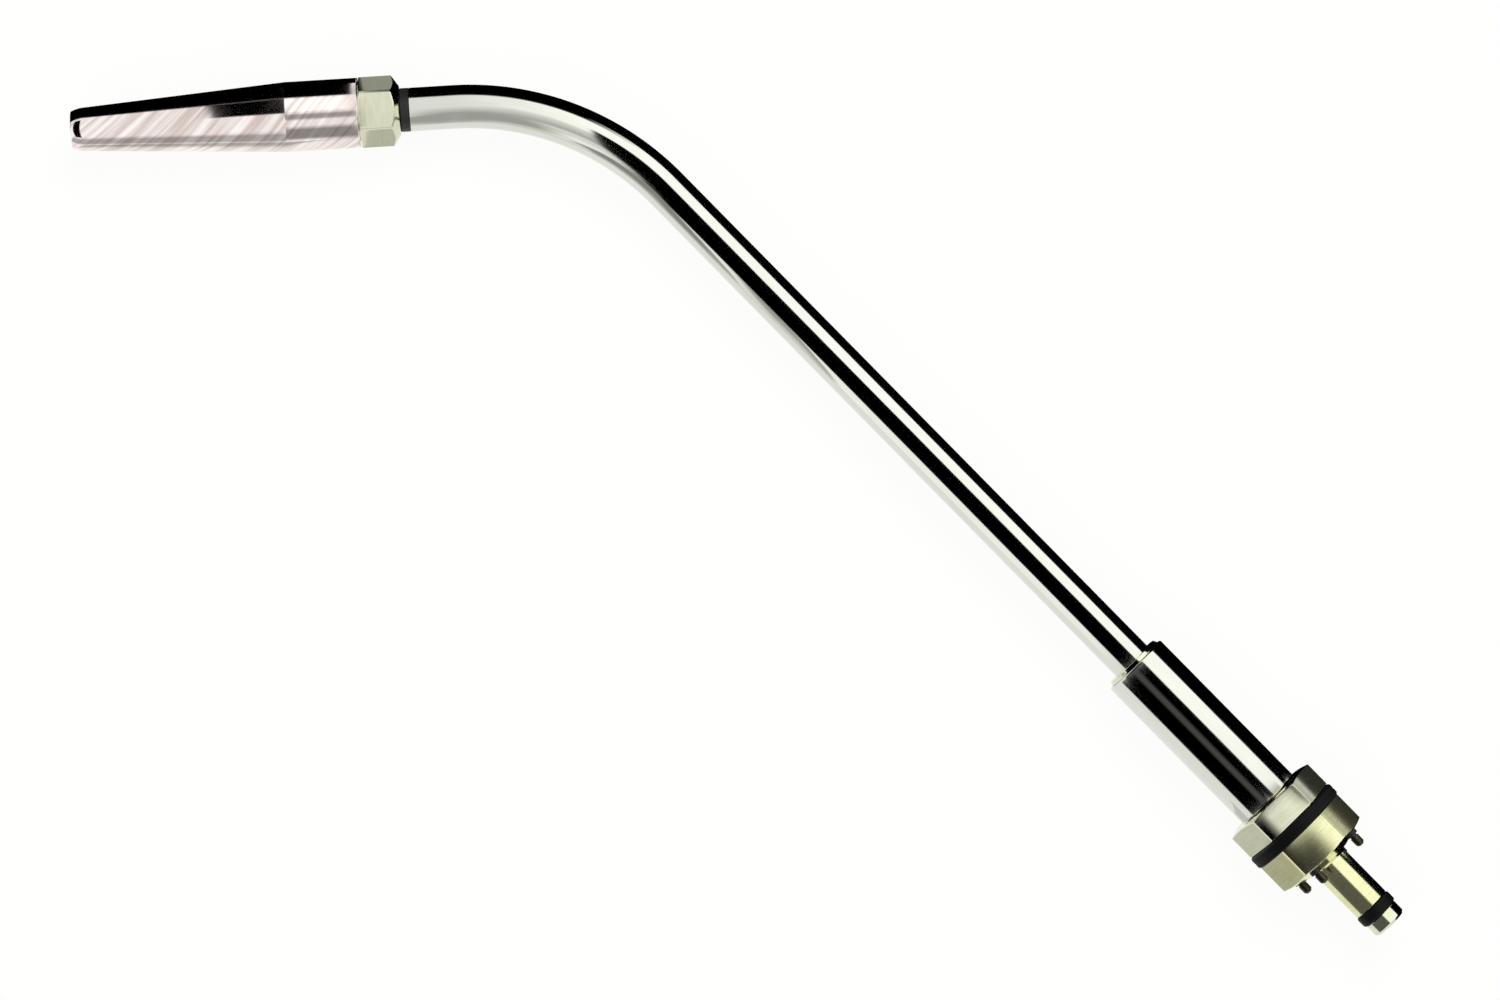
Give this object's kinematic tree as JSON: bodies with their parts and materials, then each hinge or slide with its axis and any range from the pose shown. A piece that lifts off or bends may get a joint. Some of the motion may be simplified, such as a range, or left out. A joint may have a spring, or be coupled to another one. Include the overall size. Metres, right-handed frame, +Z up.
{
  "type": "mig welding torch neck",
  "caption": "Plug-in swan neck of a MIG welding torch: tapered gas nozzle, bent polished tube, thick shank, hexagon coupling with lock nut and a round sealed plug.",
  "frame": {"origin": "on the neck's axis, at the flat middle of the coupling body's rear face, inside the plug's wire inlet", "axes": "+X along the straight neck towards the nozzle, +Y to the side that the nozzle bends to, +Z up out of the neck's plane"},
  "size_m": [0.4816, 0.1438, 0.035],
  "materials": {
    "nickel": "nickel plate over brass, bright",
    "brass": "turned, bright",
    "chrome": "polished plate",
    "copper": "polished copper, lightly plated",
    "tip_copper": "drawn copper",
    "black_rubber": "moulded, satin",
    "black_plastic": "moulded",
    "pin_metal": "dark, oxidised",
    "ceramic": "fired, unglazed",
    "spring_steel": "drawn wire"
  },
  "bodies": {
    "coupling": {"coupling_body": "brass", "coupling_seal": "black_rubber", "clamp_collet": "brass", "plug_spigot": "brass", "plug_seal": "black_rubber", "plug_end_cap": "nickel", "contact_pins": "pin_metal", "pin_bushes": "black_plastic"},
    "lock_nut": {"lock_nut": "nickel"},
    "neck": {"neck_tube": "chrome", "shank": "chrome", "shank_bush": "nickel", "shank_insulator": "black_plastic", "neck_tail": "brass", "tail_seals": "black_rubber", "neck_insulation": "black_plastic", "conductor_tube": "tip_copper", "wire_liner": "spring_steel", "liner_nipple": "brass", "front_ring": "black_plastic", "nozzle_seat": "nickel", "nozzle_insulator": "black_plastic", "tip_holder": "brass", "gas_distributor": "ceramic"},
    "nozzle_spring": {"nozzle_spring": "spring_steel"},
    "nozzle": {"gas_nozzle": "copper"},
    "contact_tip": {"contact_tip": "tip_copper"}
  },
  "joints": [
    {"name": "neck_swivel", "type": "hinge", "parent": "coupling", "child": "neck", "pos_m": [0, 0, 0], "axis": [1, 0, 0], "continuous": true},
    {"name": "lock_nut_turn", "type": "hinge", "parent": "coupling", "child": "lock_nut", "pos_m": [0, 0, 0], "axis": [1, 0, 0], "continuous": true},
    {"name": "nozzle_twist", "type": "hinge", "parent": "neck", "child": "nozzle_spring", "pos_m": [0.36811, 0.03015, 0], "axis": [0.6574, 0.7536, 0], "continuous": true},
    {"name": "nozzle_pull", "type": "slide", "parent": "nozzle_spring", "child": "nozzle", "axis": [0.6574, 0.7536, 0], "range_m": [0, 0.092]},
    {"name": "contact_tip_turn", "type": "hinge", "parent": "neck", "child": "contact_tip", "pos_m": [0.36811, 0.03015, 0], "axis": [0.6574, 0.7536, 0], "continuous": true}
  ]
}
